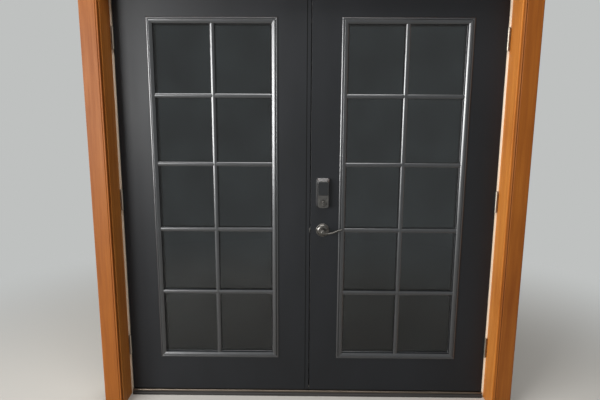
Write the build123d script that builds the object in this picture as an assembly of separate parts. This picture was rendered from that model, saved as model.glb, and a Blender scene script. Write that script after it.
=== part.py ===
from build123d import *
import os

# A pair of glazed entrance doors that swing into the room, hung in their own frame.
# Millimetres. X runs to the right seen from the room, Y away from the room, Z up.
# Y = 0 is the room face of the closed leaves and Z = 0 is the underside of the sill.

# Share of a radius that a quarter arc cuts off its corner, and how far a cut runs past a face
# overcut belongs to the tool that cuts, and leaves no mark on the part
arc_cut = 0.293
overcut = 1.0

# Leaves and the gaps round them
slab_width = 908.0
slab_height = 2007.0
slab_thickness = 44.5
hinge_gap = 3.0
head_gap = 3.0
meeting_gap = 4.0
astragal_width = 19.0
slab_edge_ease = 1.2

# Sill
sill_height = 28.0
sill_gap = 6.0
sill_base_height = 20.0
sill_front_height = 11.0
sill_front_ease = 2.0
sill_nose_height = 10.0
sill_nose_run = 4.0
sill_nose_drop = 2.0
sill_inner_reach = 12.0
sill_outer_reach = 35.0
cap_inner_reach = 6.0
cap_front_round = 4.0
cap_back_round = 6.0
tread_thickness = 1.8
tread_rib = 1.6
tread_rib_half = 2.0
tread_rib_places = (0.3, 0.42, 0.54, 0.66, 0.78)

# Jambs
jamb_depth = 116.0
jamb_thickness = 19.0
stop_height = 12.7
seal_thickness = 2.8
seal_width = 11.0
seal_clearance = 0.3
kerf_width = 2.4
kerf_inset = 1.0
kerf_spare = 0.4
kerf_depth = 8.0
dado_depth = 8.0

# Timber lining and casings round the reveal, and the outside moulding
lining_setback = 9.0
lining_thickness = 19.0
lining_depth = 105.0
lining_ease = 1.5
casing_reveal = 5.0
casing_width = 83.0
casing_thickness = 17.0
casing_bead = 8.0
casing_groove = 2.5
casing_groove_width = 1.5
casing_shoulder = 2.5
casing_fall = 0.4
casing_corner = 4.0
relief_inset = 21.0
relief_depth = 3.0
relief_slope = 2.0
brickmould_reveal = 6.0
brickmould_width = 50.0
brickmould_thickness = 30.0
brickmould_edge = 2.0

# Glazed light in each leaf, between the stiles and rails of the slab
meeting_stile = 139.0
hinge_stile = 155.0
bottom_rail = 180.0
top_rail = 133.0
light_border = 31.0
light_lip = 20.0
light_proud = 12.0
light_clearance = 0.5
light_bead = 10.0
light_bead_proud = 6.0
light_bead_side = 4.0
light_groove = 1.5
light_groove_proud = 3.0
light_shoulder = 2.0
light_fall_drop = 7.0
light_fall_swell = 1.5
light_fall_edge = 2.0
light_toe = 0.8
glass_unit_thickness = 24.5
pane_thickness = 3.2
pane_clearance = 4.0
spacer_width = 11.0
grid_columns = 2
grid_rows = 5
bar_width = 22.0
bar_height = 16.0
bar_flank = 12.5
bar_flank_lean = 1.2

# Hinges
hinge_height = 101.6
hinge_plate = 2.4
hinge_plate_reach = 35.0
hinge_plate_corner = 6.0
hinge_axis_offset = 7.0
barrel_radius = 6.35
pin_radius = 3.0
pin_clearance = 0.05
pin_head_radius = 4.8
pin_head_height = 3.0
pin_head_bevel = 1.5
knuckle_count = 5
knuckle_gap = 0.4
hinge_top_inset = 229.0
hinge_bottom_inset = 246.0

# Lever set, latch and deadbolt
lever_rise = 864.0
deadbolt_rise = 140.0
backset = 60.0
cross_bore_radius = 27.0
edge_bore_radius = 12.7
case_clearance = 0.3
cage_length = 26.0
cage_share = 0.9
cage_corner = 4.0
faceplate_width = 25.4
faceplate_height = 57.0
faceplate_thickness = 2.2
faceplate_corner = 6.0
turning_clearance = 0.3
spindle_radius = 6.0
spindle_fit = 0.1
spindle_grip = 12.0
spindle_end_gap = 0.5
rosette_radius = 33.5
rosette_height = 15.5
neck_radius = 9.0
hub_radius = 11.5
hub_crown = 8.0
hub_round = 4.0
lever_projection = 52.0
lever_reach = 96.0
latch_radius = 8.0
latch_throw = 12.0
latch_tail = 22.0
deadbolt_radius = 8.5
deadbolt_throw = 25.0
deadbolt_length = 40.0
deadbolt_bevel = 1.0
bolt_inset = 0.5
strike_height = 57.0
strike_width = 28.0
strike_thickness = 2.0
strike_corner = 5.0
strike_clearance = 1.2
strike_lip_reach = 2.0
strike_lip_spare = 4.0
pocket_spare = 2.0

# Lock housings
housing_width = 69.0
housing_above = 122.0
housing_below = 26.0
housing_base = 12.0
housing_depth = 30.0
housing_corner = 14.0
bevel_side = 9.0
bevel_top = 14.0
bevel_bottom = 4.0
cover_width = 49.0
cover_height = 66.0
cover_top_margin = 3.5
cover_thickness = 3.0
cover_recess = 1.6
cover_corner = 5.0
cover_clearance = 0.25
cover_round = 1.2
ring_radius = 23.0
ring_height = 34.0
ring_groove_radius = 20.5
ring_groove_depth = 1.5
turn_radius = 17.0
turn_seat_depth = 8.0
turn_sink = 2.0
turn_edge = 1.0
turn_paddle_length = 30.0
turn_paddle_width = 9.5
turn_paddle_height = 15.0
tail_radius = 4.0
tail_overrun = 6.0
keypad_depth = 24.0
plug_radius = 7.0
plug_guard_radius = 13.0
plug_guard_height = 4.0
plug_guard_bevel = 2.0
plug_sink = 1.0
keyway_width = 1.8
keyway_height = 8.0
keyway_depth = 10.0

# Flush bolts in the meeting strip
bolt_radius = 4.0
bolt_length = 190.0
bolt_travel = 15.0
bolt_recess = 1.0
bolt_hole_spare = 4.0
bolt_bore_spare = 1.0
bolt_bevel = 1.5
thumb_length = 18.0
thumb_width = 6.0
thumb_proud = 1.2
thumb_groove = 0.8
thumb_groove_places = (0.25, 0.5, 0.75)
thumb_place = 0.8
slot_spare = 1.0
bolt_plate_length = 50.0
bolt_plate_width = 25.0
bolt_plate_thickness = 2.0
bolt_plate_corner = 5.0
bolt_plate_spare = 0.5
strip_ease = 2.0
strip_back_recess = 1.0
strip_back_border = 4.0
meeting_seal_width = 8.0
meeting_seal_proud = 2.6
meeting_kerf = 2.0
meeting_kerf_depth = 5.0
meeting_barb_spare = 0.2
meeting_barb_end = 0.6

# Bottom sweeps
sweep_plate = 2.2
sweep_width = 38.0
sweep_fin = 2.0
sweep_tip = 1.0
sweep_fin_places = (-0.8, 0, 0.8)
sweep_inset = 2.0

# Places worked out from the sizes above
half_opening = (2 * slab_width + astragal_width + meeting_gap) / 2 + hinge_gap
hinge_edge = half_opening - hinge_gap
left_meeting_edge = slab_width - hinge_edge
astragal_edge = left_meeting_edge + astragal_width
right_meeting_edge = hinge_edge - slab_width
slab_bottom = sill_height + sill_gap
slab_top = slab_bottom + slab_height
head_face = slab_top + head_gap
rabbet_depth = slab_thickness + seal_thickness + seal_clearance
jamb_back = half_opening + jamb_thickness
stop_face = half_opening - stop_height
head_stop = head_face - stop_height
head_back = head_face + jamb_thickness
lining_face = half_opening + lining_setback
lining_head = head_face + lining_setback
casing_inner = lining_face + casing_reveal
casing_head = lining_head + casing_reveal
mould_inner = stop_face + brickmould_reveal
mould_head = head_stop + brickmould_reveal
mid_thickness = slab_thickness / 2
glass_recess = (slab_thickness - glass_unit_thickness) / 2
light_width = slab_width - meeting_stile - hinge_stile
light_height = slab_height - bottom_rail - top_rail
light_bottom = slab_bottom + bottom_rail
right_light_x = right_meeting_edge + meeting_stile
left_light_x = left_meeting_edge - meeting_stile - light_width
pin_x = half_opening - hinge_gap / 2
pin_y = -hinge_axis_offset
hinge_top = slab_top - hinge_top_inset
hinge_bottom = slab_bottom + hinge_bottom_inset
hinge_centres = (hinge_bottom, (hinge_bottom + hinge_top) / 2, hinge_top)
lever_x = right_meeting_edge + backset
lever_z = slab_bottom + lever_rise
deadbolt_z = lever_z + deadbolt_rise
bolt_x = (left_meeting_edge + astragal_edge) / 2


def block(x0, x1, y0, y1, z0, z1):
    centre = Pos((x0 + x1) / 2, (y0 + y1) / 2, (z0 + z1) / 2)
    return centre * Box(abs(x1 - x0), abs(y1 - y0), abs(z1 - z0))


def outline(start, *steps):
    # A step of two numbers is a straight edge, one of four an arc through its first point.
    edges = []
    here = start
    for step in steps:
        there = step[-2:]
        if len(step) == 4:
            edges.append(ThreePointArc(here, step[:2], there))
        else:
            edges.append(Line(here, there))
        here = there
    edges.append(Line(here, start))
    return make_face(edges)


def along_x(face, x0, x1):
    # The outline's own axes lie along Y and Z.
    plane = Plane(origin=(x0, 0, 0), x_dir=(0, 1, 0), z_dir=(1, 0, 0))
    return extrude(plane * face, amount=x1 - x0, dir=(1, 0, 0))


def along_y(face, y0, y1):
    # The outline's own axes lie along X and Z.
    plane = Plane(origin=(0, y0, 0), x_dir=(1, 0, 0), z_dir=(0, -1, 0))
    return extrude(plane * face, amount=y1 - y0, dir=(0, 1, 0))


def along_z(face, z0, z1):
    return extrude(Pos(0, 0, z0) * face, amount=z1 - z0, dir=(0, 0, 1))


def rod_x(x0, x1, y, z, radius):
    return Pos((x0 + x1) / 2, y, z) * Rot(0, 90, 0) * Cylinder(radius, abs(x1 - x0))


def rod_y(x, y0, y1, z, radius):
    return Pos(x, (y0 + y1) / 2, z) * Rot(90, 0, 0) * Cylinder(radius, abs(y1 - y0))


def rod_z(x, y, z0, z1, radius):
    return Pos(x, y, (z0 + z1) / 2) * Cylinder(radius, abs(z1 - z0))


def turned(face, x, z):
    # The outline gives radius and height off the room face, turned about a level axis.
    body = revolve(Plane.XZ * face, axis=Axis.Z)
    return Plane(origin=(x, 0, z), x_dir=(1, 0, 0), z_dir=(0, -1, 0)) * body


def flip_x(part):
    return mirror(part, about=Plane.YZ)


def to_outside(part):
    return mirror(part, about=Plane.XZ.offset(-mid_thickness))


def head_section(face):
    # Turns an upright's section into the head's, whose own axes lie along Y and Z.
    return mirror(Rot(0, 0, 90) * face, about=Plane.YZ)


def three_sided(profile, inner, head, reach, y0):
    # Two uprights and a head of one profile, mitred at the top corners.
    # The profile's own axes are distance outward from the inner edge, and Y from y0.
    outer, top = inner + reach, head + reach
    depth = profile.bounding_box().max.Y
    upright_area = Polyline((inner, 0), (outer, 0), (outer, top), (inner, head), close=True)
    head_area = Polyline((-inner, head), (inner, head), (outer, top), (-outer, top), close=True)
    low, high = y0 - reach, y0 + depth + reach
    upright = along_z(Pos(inner, y0) * profile, 0, top) & along_y(make_face(upright_area), low, high)
    section = Pos(y0, head) * head_section(profile)
    beam = along_x(section, -outer, outer) & along_y(make_face(head_area), low, high)
    return flip_x(upright), upright, beam


# Frame

def jamb_section(kerf_cut):
    # Outward from the opening, then Y: rabbet, stop, and a kerf for the seal in the stop.
    section = outline(
        (0, 0),
        (0, rabbet_depth),
        (-stop_height, rabbet_depth),
        (-stop_height, jamb_depth),
        (jamb_thickness, jamb_depth),
        (jamb_thickness, 0),
    )
    if kerf_cut:
        middle = Pos(-kerf_inset - kerf_width / 2, rabbet_depth + kerf_cut / 2)
        section -= middle * Rectangle(kerf_width, kerf_cut)
    return section


def head_jamb_blank(kerf_cut):
    section = Pos(0, head_face) * head_section(jamb_section(kerf_cut))
    return along_x(section, -half_opening - dado_depth, half_opening + dado_depth)


def head_jamb():
    far = bolt_top_end() + bolt_hole_spare
    bore = rod_z(bolt_x, mid_thickness, head_face, far, bolt_radius + bolt_bore_spare)
    return head_jamb_blank(kerf_depth) - bore - head_bolt_plate_blank()


def side_jamb(side):
    # Full height, with a dado that the head is let into.
    body = along_z(Pos(half_opening) * jamb_section(kerf_depth), 0, head_back) - head_jamb_blank(0)
    if side < 0:
        body = flip_x(body)
    for piece in hinge_plates(side, True, False):
        body -= piece
    return body


def seal_section():
    # Compressed bulb between leaf and stop, with its barb in the kerf.
    low = slab_thickness + seal_clearance
    round_in = seal_thickness / 3
    barb_out = -kerf_inset - kerf_spare
    barb_in = -kerf_inset - kerf_width + kerf_spare
    barb_end = rabbet_depth + kerf_depth - kerf_spare
    side = -seal_clearance
    return outline(
        (side, rabbet_depth),
        (side, low + round_in),
        (side - round_in * 0.3, low + round_in * 0.3, side - round_in, low),
        (-seal_width + round_in, low),
        (-seal_width + round_in * 0.3, low + round_in * 0.3, -seal_width, low + round_in),
        (-seal_width, rabbet_depth),
        (barb_in, rabbet_depth),
        (barb_in, barb_end),
        (barb_out, barb_end),
        (barb_out, rabbet_depth),
    )


def weatherstrips():
    # The head's strip runs right across and the side strips come up under it.
    across = half_opening - seal_clearance
    head = along_x(Pos(0, head_face) * head_section(seal_section()), -across, across)
    side = along_z(Pos(half_opening) * seal_section(), sill_height, head_stop)
    return Compound(children=[flip_x(side), side, head])


def lining(side):
    body = block(
        lining_face, lining_face + lining_thickness, -lining_depth, 0, 0, lining_head + lining_thickness)
    edge = body.edges().filter_by(Axis.Z).sort_by(Axis.Y)[0]
    body = fillet(edge, lining_ease)
    return body if side > 0 else flip_x(body)


def head_lining():
    return block(-lining_face, lining_face, -lining_depth, 0, lining_head, lining_head + lining_thickness)


def casing_section():
    # Outward from the inner edge, then from the front face back to the wall.
    bead, cut = casing_bead, casing_bead / 2 * arc_cut
    flat = bead + casing_groove_width
    shoulder, corner = casing_shoulder, casing_corner
    relief_start = lining_thickness
    relief_end = casing_width - relief_inset
    relief_floor = casing_thickness - relief_depth
    return outline(
        (0, casing_thickness),
        (0, bead / 2),
        (cut, cut, bead / 2, 0),
        (bead - cut, cut, bead, casing_groove),
        (flat, casing_groove),
        (flat + shoulder * arc_cut, casing_fall + shoulder * arc_cut, flat + shoulder, casing_fall),
        (casing_width - corner, 0),
        (casing_width - corner * arc_cut, corner * arc_cut, casing_width, corner),
        (casing_width, casing_thickness),
        (relief_end, casing_thickness),
        (relief_end - relief_slope, relief_floor),
        (relief_start + relief_slope, relief_floor),
        (relief_start, casing_thickness),
    )


def brickmould_section():
    # Outward from the inner edge, then from the jamb's outside edge.
    w, t = brickmould_width, brickmould_thickness
    return outline(
        (0, 0),
        (0, t * 0.4),
        (w * 0.06, t * 0.45),
        (w * 0.2, t * 0.5, w * 0.26, t * 0.72),
        (w * 0.26, t * 0.8),
        (w * 0.42, t * 0.84, w * 0.5, t),
        (w - brickmould_edge, t),
        (w, t - brickmould_edge),
        (w, 0),
    )


def sill_base_blank():
    edge = jamb_depth + sill_outer_reach - tread_thickness
    front, ease, step = -sill_inner_reach, sill_front_ease, sill_inner_reach - cap_inner_reach
    section = outline(
        (front, 0),
        (front, sill_front_height),
        (front + ease, sill_front_height + ease, -cap_inner_reach, sill_front_height + step / 2),
        (-cap_inner_reach, sill_base_height),
        (rabbet_depth, sill_base_height),
        (edge - sill_nose_run, sill_nose_height),
        (edge, sill_nose_height - sill_nose_drop),
        (edge, 0),
    )
    return along_x(section, -half_opening, half_opening)


def sill_trim(part):
    # Notches a sill piece round the jambs and the outside mouldings.
    low, outside = -overcut, jamb_depth + sill_outer_reach
    for side in (-1, 1):
        part -= block(side * stop_face, side * jamb_back, rabbet_depth, jamb_depth, low, sill_height)
        part -= block(side * mould_inner, side * jamb_back, jamb_depth, outside, low, sill_height)
    return part


def bottom_bolt_bore():
    tip = slab_bottom + bolt_recess - bolt_travel
    return rod_z(bolt_x, mid_thickness, tip - bolt_hole_spare, sill_height, bolt_radius + bolt_bore_spare)


def sill_base():
    return sill_trim(sill_base_blank()) - bottom_bolt_bore()


def sill_tread():
    # Aluminium tread with ribs, folded down over the nose.
    edge = jamb_depth + sill_outer_reach - tread_thickness
    out, nose = edge + tread_thickness, edge - sill_nose_run
    run, half = nose - rabbet_depth, tread_rib_half
    slope = (sill_base_height - sill_nose_height) / run
    top = tread_thickness * (1 + slope ** 2) ** 0.5
    steps = [(rabbet_depth, sill_base_height), (rabbet_depth, sill_base_height + top)]
    for place in tread_rib_places:
        y = rabbet_depth + place * run
        z = sill_base_height - slope * place * run + top
        steps += [(y - half, z + slope * half), (y, z + tread_rib, y + half, z - slope * half)]
    steps += [
        (nose, sill_nose_height + top),
        (out, sill_nose_height - sill_nose_drop + tread_thickness / 2),
        (out, tread_thickness / 2),
        (edge, tread_thickness / 2),
        (edge, sill_nose_height - sill_nose_drop),
        (nose, sill_nose_height),
    ]
    return sill_trim(along_x(outline(*steps), -half_opening, half_opening))


def sill_cap():
    # Cap that the sweeps run over, with a lip towards the room.
    inner, height = -cap_inner_reach, sill_height
    front, back = cap_front_round, cap_back_round
    section = outline(
        (inner, sill_base_height),
        (inner, height - front),
        (inner + front * arc_cut, height - front * arc_cut, inner + front, height),
        (rabbet_depth - back, height),
        (rabbet_depth - back * arc_cut, height - back * arc_cut, rabbet_depth, height - back),
        (rabbet_depth, sill_base_height),
    )
    body = along_x(section, -half_opening, half_opening)
    return body - bottom_bolt_bore() - sill_bolt_plate_blank()


def bolt_plate(z0, z1):
    half_length, half_width = bolt_plate_length / 2, bolt_plate_width / 2
    plate = block(
        bolt_x - half_length, bolt_x + half_length,
        mid_thickness - half_width, mid_thickness + half_width, z0, z1)
    return fillet(plate.edges().filter_by(Axis.Z), bolt_plate_corner)


def head_bolt_plate_blank():
    return bolt_plate(head_face, head_face + bolt_plate_thickness)


def sill_bolt_plate_blank():
    return bolt_plate(sill_height - bolt_plate_thickness, sill_height)


def bolt_plate_hole(plate):
    return plate - rod_z(bolt_x, mid_thickness, 0, head_back, bolt_radius + bolt_plate_spare)


# Hinges

def hinge_plate_face(centre):
    top, bottom = centre + hinge_height / 2, centre - hinge_height / 2
    r, cut = hinge_plate_corner, hinge_plate_corner * arc_cut
    reach = hinge_plate_reach
    return outline(
        (pin_y, bottom),
        (reach - r, bottom),
        (reach - cut, bottom + cut, reach, bottom + r),
        (reach, top - r),
        (reach - cut, top - cut, reach - r, top),
        (pin_y, top),
    )


def knuckle_spans(centre, on_frame):
    # The frame's knuckles are the first, third and fifth; the leaf's lie between them.
    step = hinge_height / knuckle_count
    low = centre - hinge_height / 2
    own = range(0 if on_frame else 1, knuckle_count, 2)
    for index in own:
        start = low + index * step + (knuckle_gap / 2 if index > 0 else 0)
        end = low + (index + 1) * step - (knuckle_gap / 2 if index < knuckle_count - 1 else 0)
        yield start, end


def hinge_plates(side, on_frame, with_barrel=True):
    # One leaf of each hinge on one side of the frame.
    plates = []
    for centre in hinge_centres:
        if on_frame:
            plate = along_x(hinge_plate_face(centre), half_opening, half_opening + hinge_plate)
        else:
            plate = along_x(hinge_plate_face(centre), hinge_edge - hinge_plate, hinge_edge)
        web = plate & block(0, jamb_back, pin_y, 0, 0, head_face)
        plate -= web
        if with_barrel:
            for start, end in knuckle_spans(centre, on_frame):
                plate += web & block(0, jamb_back, pin_y, 0, start, end)
                plate += rod_z(pin_x, pin_y, start, end, barrel_radius)
            bore = pin_radius + pin_clearance
            plate -= rod_z(pin_x, pin_y, centre - hinge_height, centre + hinge_height, bore)
        plates.append(plate if side > 0 else flip_x(plate))
    return plates


def hinge_pins():
    pins = []
    for centre in hinge_centres:
        low, high = centre - hinge_height / 2, centre + hinge_height / 2
        crown = pin_head_height
        pin = revolve(
            Plane.XZ * outline(
                (0, low - crown * 0.6),
                (pin_head_radius - pin_head_bevel, low - crown * 0.6),
                (pin_head_radius, low),
                (pin_radius, low),
                (pin_radius, high),
                (pin_head_radius, high),
                (pin_head_radius, high + crown * 0.4),
                (pin_head_radius * 0.8, high + crown * 0.8),
                (pin_head_radius * 0.4, high + crown),
                (0, high + crown),
            ),
            axis=Axis.Z,
        )
        pin = Pos(pin_x, pin_y) * pin
        pins += [pin, flip_x(pin)]
    return Compound(children=pins)


# Leaves

def light_ring():
    # Moulded light frame, mitred, drawn with its outer corner at the origin.
    # X and Y span the light and Z stands off the leaf's face.
    border, lip, proud = light_border, light_lip, light_proud
    bead, side, floor = light_bead, light_bead_side, light_groove_proud
    groove, ease = bead + light_groove, light_shoulder
    top, edge = groove + ease, border - light_fall_edge
    run, drop = edge - top, light_fall_drop
    chord = (run**2 + drop**2) ** 0.5
    swell_x, swell_z = light_fall_swell * drop / chord, light_fall_swell * run / chord
    # Bead, groove, and a broad round that falls towards the glass and ends in an upright edge.
    section = outline(
        (0, 0),
        (0, side),
        (bead / 2, light_bead_proud, bead, side),
        (bead, floor),
        (groove, floor),
        (groove, proud - ease),
        (groove + ease * arc_cut, proud - ease * arc_cut, top, proud),
        (top + run / 2 + swell_x, proud - drop / 2 + swell_z, edge, proud - drop),
        (border - light_toe, light_toe - glass_recess),
        (border, -glass_recess),
        (lip + light_clearance, -glass_recess),
        (lip + light_clearance, 0),
    )
    w, h = light_width, light_height
    level = Plane(origin=(0, 0, 0), x_dir=(0, 1, 0), z_dir=(1, 0, 0))
    upright = Plane(origin=(0, h, 0), x_dir=(1, 0, 0), z_dir=(0, -1, 0))
    sill_bar = extrude(level * section, amount=w, dir=(1, 0, 0))
    stile_bar = extrude(upright * section, amount=h, dir=(0, -1, 0))
    level_area = make_face(Polyline((0, 0), (w, 0), (w - border, border), (border, border), close=True))
    stile_area = make_face(Polyline((0, 0), (border, border), (border, h - border), (0, h), close=True))
    below, total = -2 * glass_recess, 2 * glass_recess + 2 * proud
    sill_bar &= extrude(Pos(0, 0, below) * level_area, amount=total, dir=(0, 0, 1))
    stile_bar &= extrude(Pos(0, 0, below) * stile_area, amount=total, dir=(0, 0, 1))
    head_bar = mirror(sill_bar, about=Plane.XZ.offset(-h / 2))
    other_bar = mirror(stile_bar, about=Plane.YZ.offset(w / 2))
    return sill_bar + stile_bar + head_bar + other_bar


def glazing_grid(ring):
    # Bars that divide the glass, cut to the light frame where they meet it.
    half, side = bar_width / 2, bar_width / 2 - bar_flank_lean
    section = outline(
        (-half, 0),
        (-side, bar_flank),
        (0, bar_height, side, bar_flank),
        (half, 0),
    )
    w, h, start = light_width, light_height, light_lip
    inner_w, inner_h = w - 2 * light_border, h - 2 * light_border
    pitch_x, pitch_y = inner_w / grid_columns, inner_h / grid_rows
    bars = []
    for index in range(1, grid_columns):
        plane = Plane(
            origin=(light_border + index * pitch_x, h - start, -glass_recess),
            x_dir=(1, 0, 0), z_dir=(0, -1, 0))
        bars.append(extrude(plane * section, amount=h - 2 * start, dir=(0, -1, 0)))
    for index in range(1, grid_rows):
        plane = Plane(
            origin=(start, light_border + index * pitch_y, -glass_recess),
            x_dir=(0, 1, 0), z_dir=(1, 0, 0))
        bars.append(extrude(plane * section, amount=w - 2 * start, dir=(1, 0, 0)))
    grid = bars[0]
    for bar in bars[1:]:
        grid += bar
    # Only what lies inside the sight edge is left.
    return (grid - ring).solids().sort_by(SortBy.VOLUME)[-1]


def place_light(part, left_x):
    plane = Plane(origin=(left_x, 0, light_bottom), x_dir=(1, 0, 0), z_dir=(0, -1, 0))
    return plane * part


def light_opening(left_x):
    lip = light_lip
    return block(
        left_x + lip, left_x + light_width - lip, -overcut, slab_thickness + overcut,
        light_bottom + lip, light_bottom + light_height - lip)


def pane_box(left_x, y0, y1, inset):
    edge = light_lip + inset
    return block(
        left_x + edge, left_x + light_width - edge, y0, y1,
        light_bottom + edge, light_bottom + light_height - edge)


def panes(left_x):
    front = glass_recess
    back = slab_thickness - glass_recess
    first = pane_box(left_x, front, front + pane_thickness, pane_clearance)
    second = pane_box(left_x, back - pane_thickness, back, pane_clearance)
    return Compound(children=[first, second])


def glass_spacer(left_x):
    front = glass_recess + pane_thickness
    back = slab_thickness - front
    outer = pane_box(left_x, front, back, pane_clearance)
    return outer - pane_box(left_x, front, back, pane_clearance + spacer_width)


def slab_blank(x0, x1):
    body = block(x0, x1, 0, slab_thickness, slab_bottom, slab_top)
    return chamfer(body.edges().filter_by(Axis.Z), slab_edge_ease)


def right_slab():
    body = slab_blank(right_meeting_edge, hinge_edge) - light_opening(right_light_x)
    for z in (lever_z, deadbolt_z):
        body -= rod_y(lever_x, -overcut, slab_thickness + overcut, z, cross_bore_radius)
        body -= rod_x(right_meeting_edge, lever_x, mid_thickness, z, edge_bore_radius)
        body -= faceplate(z)
    for plate in hinge_plates(1, False, False):
        body -= plate
    return body


def left_slab():
    body = slab_blank(-hinge_edge, left_meeting_edge) - light_opening(left_light_x)
    body -= deadbolt_pocket()
    for plate in hinge_plates(-1, False, False):
        body -= plate
    return body


def sweep(x0, x1):
    # Ribbed rubber under a leaf, clear of the sill cap.
    middle = mid_thickness
    low = sill_height + seal_clearance
    half = sweep_width / 2
    bodies = block(x0, x1, middle - half, middle + half, slab_bottom - sweep_plate, slab_bottom)
    for place in sweep_fin_places:
        y = middle + place * half
        fin = outline(
            (y - sweep_fin, slab_bottom - sweep_plate),
            (y - sweep_fin / 2, low + sweep_tip),
            (y, low, y + sweep_fin / 2, low + sweep_tip),
            (y + sweep_fin, slab_bottom - sweep_plate),
        )
        bodies += along_x(fin, x0, x1)
    return bodies


# Meeting strip and what works in it

def astragal():
    body = block(left_meeting_edge, astragal_edge, 0, slab_thickness, slab_bottom, slab_top)
    body = fillet(body.edges().filter_by(Axis.Z).sort_by(Axis.Y)[:2], strip_ease)
    low, high = slab_bottom - overcut, slab_top + overcut
    channel = block(
        left_meeting_edge, left_meeting_edge + strip_back_recess,
        strip_back_border, slab_thickness - strip_back_border, low, high)
    kerf_y = mid_thickness + strike_width / 2 + meeting_kerf
    body -= channel
    body -= block(astragal_edge - meeting_kerf_depth, astragal_edge, kerf_y, kerf_y + meeting_kerf, low, high)
    body -= strike_blank(lever_z)
    body -= strike_blank(deadbolt_z)
    body -= latch_pocket()
    body -= deadbolt_pocket()
    for tip, up in ((slab_top - bolt_recess, 1), (slab_bottom + bolt_recess, -1)):
        far, end = tip - up * (bolt_length + slot_spare), tip + up * (bolt_recess + overcut)
        body -= rod_z(bolt_x, mid_thickness, end, far, bolt_radius + turning_clearance)
        near = thumb_start(tip, up)
        half = thumb_width / 2 + turning_clearance
        slot = block(
            bolt_x, astragal_edge + overcut, mid_thickness - half, mid_thickness + half,
            near + up * (bolt_travel + thumb_length + slot_spare), near - up * slot_spare)
        body -= slot
    return body


def meeting_seal():
    kerf_y = mid_thickness + strike_width / 2 + meeting_kerf
    centre = kerf_y + meeting_kerf / 2
    half = meeting_seal_width / 2
    barb_end = astragal_edge - meeting_kerf_depth + meeting_barb_end
    barb_low, barb_high = kerf_y + meeting_barb_spare, kerf_y + meeting_kerf - meeting_barb_spare
    section = outline(
        (barb_end, barb_low),
        (astragal_edge, barb_low),
        (astragal_edge, centre - half),
        (astragal_edge + meeting_seal_proud, centre, astragal_edge, centre + half),
        (astragal_edge, barb_high),
        (barb_end, barb_high),
    )
    return along_z(section, slab_bottom, slab_top)


def strike_blank(z):
    half_w, half_h = strike_width / 2, strike_height / 2
    plate = block(
        astragal_edge - strike_thickness, astragal_edge,
        mid_thickness - half_w, mid_thickness + half_w, z - half_h, z + half_h)
    return fillet(plate.edges().filter_by(Axis.X), strike_corner)


def lip_blank():
    # Tongue of the latch strike, rolled round the room edge of the strip.
    reach, half, t = strike_lip_reach, latch_radius + strike_lip_spare, strike_thickness
    root = mid_thickness - latch_radius
    section = outline(
        (astragal_edge, root),
        (astragal_edge, 0),
        (astragal_edge - 0.6, -reach * 0.7, astragal_edge - 2.4, -reach),
        (astragal_edge - 2.8, -reach + 1.2),
        (astragal_edge - t - 0.2, -0.6, astragal_edge - t, 1.5),
        (astragal_edge - t, root),
    )
    return along_z(section, lever_z - half, lever_z + half)


def latch_pocket():
    half = latch_radius + strike_clearance
    return block(
        astragal_edge - latch_throw, astragal_edge,
        mid_thickness - half, mid_thickness + half, lever_z - half, lever_z + half)


def deadbolt_pocket():
    half = deadbolt_radius + strike_clearance
    depth = deadbolt_throw - meeting_gap + pocket_spare
    return block(
        astragal_edge - depth, astragal_edge,
        mid_thickness - half, mid_thickness + half, deadbolt_z - half, deadbolt_z + half)


def latch_strike():
    return strike_blank(lever_z) + lip_blank() - latch_pocket()


def deadbolt_strike():
    return strike_blank(deadbolt_z) - deadbolt_pocket()


def astragal_with_lip():
    return astragal() - lip_blank()


def bolt_top_end():
    return slab_top - bolt_recess + bolt_travel


def thumb_start(tip, up):
    # Near end of the thumb slide at rest, four fifths of the rod from its tip.
    return tip - up * bolt_length * thumb_place


def flush_bolt(tip, up):
    rod = rod_z(bolt_x, mid_thickness, tip, tip - up * bolt_length, bolt_radius)
    end = rod.edges().filter_by(GeomType.CIRCLE).sort_by(Axis.Z)
    rod = chamfer(end[-1] if up > 0 else end[0], bolt_bevel)
    near = thumb_start(tip, up)
    thumb = block(
        bolt_x, astragal_edge + thumb_proud,
        mid_thickness - thumb_width / 2, mid_thickness + thumb_width / 2,
        near, near + up * thumb_length)
    outer, groove = astragal_edge + thumb_proud, thumb_groove
    for share in thumb_groove_places:
        z = near + up * thumb_length * share
        thumb -= block(outer - groove, outer + overcut, 0, slab_thickness, z - groove, z + groove)
    return rod + thumb


# Latch, deadbolt and their cases

def faceplate(z):
    half_w, half_h = faceplate_width / 2, faceplate_height / 2
    plate = block(
        right_meeting_edge, right_meeting_edge + faceplate_thickness,
        mid_thickness - half_w, mid_thickness + half_w, z - half_h, z + half_h)
    return fillet(plate.edges().filter_by(Axis.X), faceplate_corner)


def bolt_case(z, bolt_r, cross_r):
    # Faceplate, tube in the edge bore, and the cage that the cross spindle turns in.
    tube_r = edge_bore_radius - case_clearance
    cage_start = lever_x - cage_length / 2
    cage_half = tube_r * cage_share
    body = faceplate(z)
    body += rod_x(right_meeting_edge + bolt_inset, cage_start + overcut, mid_thickness, z, tube_r)
    cage = block(
        cage_start, cage_start + cage_length,
        mid_thickness - cage_half, mid_thickness + cage_half, z - cage_half, z + cage_half)
    body += fillet(cage.edges().filter_by(Axis.Y), cage_corner)
    bore_end, bore_r = cage_start - bolt_inset, bolt_r + turning_clearance
    body -= rod_x(right_meeting_edge - overcut, bore_end, mid_thickness, z, bore_r)
    return body - rod_y(lever_x, 0, slab_thickness, z, cross_r + turning_clearance)


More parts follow.
